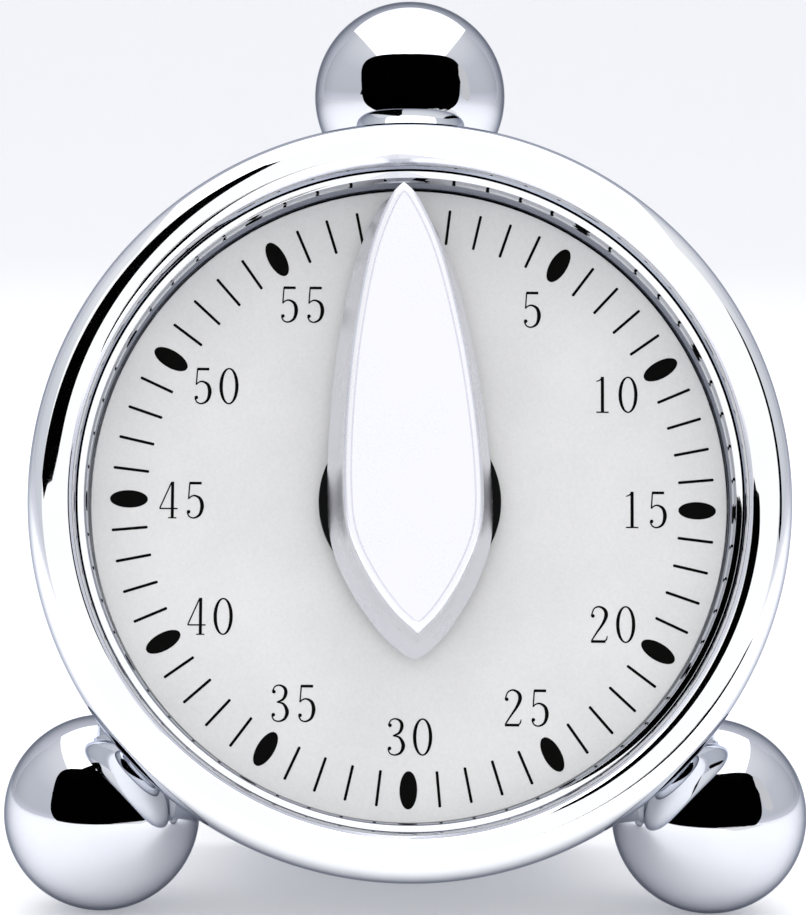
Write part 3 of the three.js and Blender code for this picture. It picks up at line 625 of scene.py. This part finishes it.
# ---- Back cover -----------------------------------------------------------------------------
# A disc moulded in black ABS with a fine eroded texture. Six long slots let the bell be heard.
# Three countersunk screws hold it to the drum's lugs, with their heads just below its face.
COVER_FRONT = 41.0
COVER_BACK = 42.0
SLOT_HALF = 1.1
SLOTS_R = 20  # the slots end on a circle of this radius
abs_black, tree, shader, place = finish_of("black_abs_eroded_texture", IOR=1.54)
pits = noise(tree, place, 0.00035, 2.0)
patches = noise(tree, place, 0.012, 2.0)
two_tones(tree, shader.inputs["Base Color"], patches, "171718", "222224")
roughness(tree, shader, pits, 0.42, 0.66)
relief(tree, shader, pits, 0.35, 0.00005)

cover = turned("rear_cover", rounded(
    [(0, COVER_FRONT), (DRUM_R, COVER_FRONT, 0.1), (DRUM_R, COVER_BACK, 0.6), (0, COVER_BACK)], 0.5), 192)
for x in (-15, -10, -5, 5, 10, 15):
    reach = math.sqrt(SLOTS_R**2 - x**2) - SLOT_HALF
    end = [polar(SLOT_HALF, a) for a in range(0, 181, 15)]
    ends = [(x + right, reach + up) for right, up in end] + [(x - right, -reach - up) for right, up in end]
    worked(cover, prism("slot", ends, 40, 43), "DIFFERENCE")
for angle in LUG_ANGLES:
    x, z = polar(LUG_RHO, angle)
    sink = [(0, 40), (1.05, 40), (1.05, 41.1), (2.15, 41.95), (2.15, 43), (0, 43)]
    worked(cover, turned("sink", sink, 32, CASE @ Matrix.Translation((x * MM, 0, z * MM))), "DIFFERENCE")
keep_flats_flat(cover)
ride(cover, "case", "black_plastic", abs_black, "back_cover")

# Turned steel, bright: fine tool lines 0.3 mm apart round each part, a little stained with oil.
steel, tree, shader, place = finish_of("turned_bright_steel", Metallic=1.0)
oil = noise(tree, place, 0.003, 4.0)
lines = add(tree, "ShaderNodeTexWave", [
    ("Vector", place), ("Scale", 1 / 0.0003 / FULL_TURN), ("Distortion", 1.5)],
    bands_direction="Y")
two_tones(tree, shader.inputs["Base Color"], oil, "D2D4D7", "A9ACB2")
roughness(tree, shader, oil, 0.18, 0.38)
relief(tree, shader, lines.outputs["Fac"], 0.12, 0.00002)

for number, angle in enumerate(LUG_ANGLES, 1):
    x, z = polar(LUG_RHO, angle)
    at_lug = CASE @ Matrix.Translation((x * MM, 0, z * MM))
    head = [(0, 37.2), (0.88, 37.2), (0.88, 41.3), (1.82, 41.88), (1.82, 41.93), (1.75, 41.95), (0, 41.95)]
    screw = turned("cover_screw_head_" + str(number), head, 40, at_lug)
    slot_outline = [(-0.25, -3), (0.25, -3), (0.25, 3), (-0.25, 3)]
    worked(screw, prism("slot", slot_outline, 41.6, 44, at_lug), "DIFFERENCE")
    keep_flats_flat(screw)
    ride(screw, "case", "steel", steel, "cover_screw_" + str(number))

# ---- Movement and alarm ---------------------------------------------------------------------
# The clockwork behind the dial, seen only through the cover's slots. It has brass plates and wheels, steel
# arbors and pillars, a blued mainspring, an acetal cam, and a steel hammer for a nickel-plated bell.
brass, tree, shader, place = finish_of("rolled_and_cut_brass", Metallic=1.0)
tarnish = noise(tree, place, 0.005, 5.0)
along = add(tree, "ShaderNodeMapping", [("Vector", place), ("Scale", (1.0, 1.0, 14.0))])
grain = noise(tree, along.outputs[0], 0.002, 3.0)
two_tones(tree, shader.inputs["Base Color"], tarnish, "E0BC6A", "B78B3C")
roughness(tree, shader, grain, 0.20, 0.42)
relief(tree, shader, grain, 0.10, 0.00003)

blued, tree, shader, place = finish_of("blued_spring_steel", Metallic=1.0)
heat = noise(tree, place, 0.004, 3.0)
two_tones(tree, shader.inputs["Base Color"], heat, "4A5A78", "6B6474")
roughness(tree, shader, heat, 0.22, 0.36)

bell_nickel = chrome_plate("nickel_plate_on_bell_steel", "E9E6E0", "D8D5CF", 0.08, 0.2, 0.25)

brass_nodes = ["front_plate", "rear_plate", "main_wheel", "second_wheel", "third_wheel", "escape_wheel",
               "balance_wheel", "hammer_head"] + [f"pillar_nut_{k}" for k in range(1, 5)]
numbered = [f"{part}_{k}" for part in ("pillar", "movement_screw") for k in range(1, 5)]
steel_nodes = ["carrier_plate", "stop_stud", "ball_screw_top", "ball_screw_left", "ball_screw_right",
               "main_arbor", "ratchet_wheel", "click", "spring_stud", "second_arbor", "star_wheel",
               "third_arbor", "escape_arbor", "balance_staff", "pallet_lever", "hammer_arbor",
               "hammer_finger", "hammer_tail", "hammer_arm", "bell_post", "bell_nut"] + numbered
for finish, slot, names in (
    (brass, "brass", brass_nodes), (steel, "steel", steel_nodes), (blued, "spring_steel", ["mainspring"]),
    (plastic, "black_plastic", ["strike_cam"]), (bell_nickel, "bell_steel", ["bell"]),
):
    for name in names:
        cad[name].data.materials.clear()
        cad[name].data.materials.append(finish)

# ---- Studio ---------------------------------------------------------------------------------
# A pale floor that sweeps up behind, soft white light from all round, and in front a curved sheet that glows
# for the dial, the knob and the bezel, and is black for the balls, like the black cloth round a camera.
FLOOR_FRONT, FLOOR_BACK, FLOOR_HALF = -2.0, 1.6, 2.5
SWEEP_R, WALL_TOP = 0.6, 2.4
floor_mesh = bmesh.new()
bend = [math.pi / 2 * k / 16 for k in range(17)]
sweep = [(FLOOR_FRONT, 0.0)]
sweep += [(FLOOR_BACK + SWEEP_R * math.sin(a), SWEEP_R - SWEEP_R * math.cos(a)) for a in bend]
sweep += [(FLOOR_BACK + SWEEP_R, WALL_TOP)]
edges = [[floor_mesh.verts.new((side, y, z)) for y, z in sweep] for side in (-FLOOR_HALF, FLOOR_HALF)]
for k in range(len(sweep) - 1):
    floor_mesh.faces.new((edges[0][k], edges[1][k], edges[1][k + 1], edges[0][k + 1]))
bmesh.ops.recalc_face_normals(floor_mesh, faces=floor_mesh.faces)
mesh = bpy.data.meshes.new("floor_sweep")
floor_mesh.to_mesh(mesh)
floor_mesh.free()
floor = piece_from("floor_sweep", mesh, Matrix.Identity(4))
paper, tree, shader, place = finish_of("pale_paper_sweep", Roughness=0.9)
fibre = noise(tree, place, 0.02, 4.0)
two_tones(tree, shader.inputs["Emission Color"], fibre, "ECEDF2", "E6E8EE")
shader.inputs["Emission Strength"].default_value = 0.24
floor.data.materials.append(paper)

STUDIO_HEIGHT = 0.06  # the sheets curve about a point this far above the floor
balls = [o for o in bpy.data.objects if o.name.startswith("ball_foot_")]
rings = [bezel, dial_ring]
others = [o for o in bpy.data.objects if o.type == "MESH" and o not in rings and o not in balls]


def glowing_sheet(name, rows, brightness, pieces):
    """a curved sheet through rows of points that glows for these pieces and is black for the rest"""
    mesh = bpy.data.meshes.new(name)
    wide = len(rows[0])
    faces = [(r * wide + k, r * wide + k + 1, (r + 1) * wide + k + 1, (r + 1) * wide + k)
             for r in range(len(rows) - 1) for k in range(wide - 1)]
    mesh.from_pydata([p for row in rows for p in row], [], faces)
    made = piece_from(name, mesh, Matrix.Identity(4))
    glow, tree, shader, place = finish_of(name + "_glow")
    tree.nodes.remove(shader)
    light = add(tree, "ShaderNodeEmission", [("Strength", brightness)])
    tree.links.new(light.outputs[0], tree.nodes["Material Output"].inputs["Surface"])
    made.data.materials.append(glow)
    made.visible_camera = False
    made.visible_shadow = False
    group = bpy.data.collections.new("lit_by_" + name)
    for piece in pieces:
        group.objects.link(piece)
    made.light_linking.receiver_collection = group


def seen_at(azimuth, elevation, distance):
    """the point that the timer sees at these angles in degrees, right and up"""
    flat = math.cos(math.radians(elevation)) * distance
    return (flat * math.sin(math.radians(azimuth)), -flat * math.cos(math.radians(azimuth)),
            STUDIO_HEIGHT + distance * math.sin(math.radians(elevation)))


# The front sheet's outline is what a ball shows as a rounded rectangle round the camera. It is given on the
# ball, in radii from the ball's middle, and each point is sent out along the line that the ball reflects.
FRONT_SHEET = 0.40
OVER_FLOOR = 0.0005
HALF_WIDE, LOW, HIGH = 0.505, -0.128, 0.457
RINGS, TURNS = 16, 96


def squared(part):
    """a cosine or sine that makes a circle into a rounded square"""
    return math.copysign(abs(part) ** 0.5, part)


front = []
for ring in range(RINGS + 1):
    row = []
    for k in range(TURNS + 1):
        a = FULL_TURN * k / TURNS
        x = HALF_WIDE * squared(math.cos(a)) * ring / RINGS
        z = (HIGH + LOW) / 2 + (HIGH - LOW) / 2 * squared(math.sin(a)) * ring / RINGS
        normal = Vector((x, -math.sqrt(1 - x * x - z * z), z))
        away = 2 * -normal.y * normal + Vector((0, 1, 0))
        to_floor = (STUDIO_HEIGHT - OVER_FLOOR) / -away.z if away.z < 0 else FRONT_SHEET
        row.append(tuple(away * min(FRONT_SHEET, to_floor) + Vector((0, 0, STUDIO_HEIGHT))))
    front.append(row)
glowing_sheet("front_sheet", front, 1.1, others + rings)


def flag(name, low_edge, high_edge, distance, pieces, brightness=1.0):
    """a sheet between two runs of (azimuth, elevation), black for the bezel and its ring"""
    rows = []
    for k in range(9):
        angles = [Vector(a) + (Vector(b) - Vector(a)) * k / 8 for a, b in zip(low_edge, high_edge)]
        rows.append([seen_at(*angle, distance) for angle in angles])
    glowing_sheet(name, rows, brightness, pieces)


flag("flag_left", [(-9, 15), (-22, 13), (-38, 11), (-52, 7), (-63, 8)],
     [(-11, 20), (-18, 48), (-30, 55), (-46, 42), (-61, 14)], 0.22, others)
flag("flag_right", [(64, 4), (68, 2), (72, 0), (76, 2)], [(64, 26), (68, 34), (72, 36), (76, 30)], 0.39,
     others + balls, 0.75)

floor_flag = []
for k in range(9):
    row = []
    for step in range(13):
        azimuth = math.radians(8 + 52 * step / 12)
        away = 0.28 + (k / 4 - 1) * 0.15 * math.sin(math.pi * step / 12)
        row.append((away * math.sin(azimuth), -away * math.cos(azimuth), OVER_FLOOR))
    floor_flag.append(row)
glowing_sheet("flag_on_floor", floor_flag, 1.05, others + balls)

overhead = bpy.data.lights.new("overhead_sheet", "AREA")
overhead.shape = "RECTANGLE"
overhead.size = 1.1
overhead.size_y = 1.2
overhead.energy = 1.5 * overhead.size * overhead.size_y * math.pi
hung = bpy.data.objects.new("overhead_sheet", overhead)
hung.matrix_world = Matrix.Translation((0, 0.10, 0.74))
bpy.context.scene.collection.objects.link(hung)

sky = bpy.data.worlds.new("studio_sky")
bpy.context.scene.world = sky
sky.use_nodes = True
tree = sky.node_tree
look = add(tree, "ShaderNodeTexCoord").outputs["Generated"]
parts = add(tree, "ShaderNodeSeparateXYZ", [(0, look)])
shades = add(tree, "ShaderNodeValToRGB", [(0, add(tree, "ShaderNodeMapRange", [
    ("Value", parts.outputs["Z"]), ("From Min", -1.0), ("From Max", 1.0)]).outputs[0])])
ramp = shades.color_ramp
for at, code in ((0.0, "D8DAE6"), (0.49, "ECECF6"), (0.54, "D2D5DC"), (0.72, "D8DBE1"), (0.90, "F4F5F8")):
    stop = ramp.elements.new(at)
    stop.color = linear(code)
ramp.elements.remove(ramp.elements[-1])
background = tree.nodes["Background"]
tree.links.new(shades.outputs[0], background.inputs["Color"])
background.inputs["Strength"].default_value = 1.0

# The camera stands 35 cm in front, a little above the dial's middle, with a long lens.
SENSOR, LENS = 36.0, 149.525
STANDS_AT = (-0.00822, -0.350, 0.07953)
camera_data = bpy.data.cameras.new("camera")
camera_data.sensor_width = SENSOR
camera_data.sensor_fit = "HORIZONTAL"
camera_data.lens = LENS
camera = bpy.data.objects.new("camera", camera_data)
bpy.context.scene.collection.objects.link(camera)
AZIMUTH, PITCH, ROLL = (math.radians(v) for v in (1.285, 5.636, 0.605))
ahead = Vector((math.sin(AZIMUTH) * math.cos(PITCH), math.cos(AZIMUTH) * math.cos(PITCH), -math.sin(PITCH)))
level = ahead.cross(Vector((0, 0, 1))).normalized()
upright = level.cross(ahead)
right = level * math.cos(ROLL) + upright * math.sin(ROLL)
top = upright * math.cos(ROLL) - level * math.sin(ROLL)
camera.matrix_world = Matrix.Translation(STANDS_AT) @ Matrix((right, top, -ahead)).transposed().to_4x4()
bpy.context.scene.camera = camera
bpy.context.scene.view_settings.view_transform = "Standard"
bpy.context.scene.view_settings.look = "None"

bpy.context.view_layer.update()
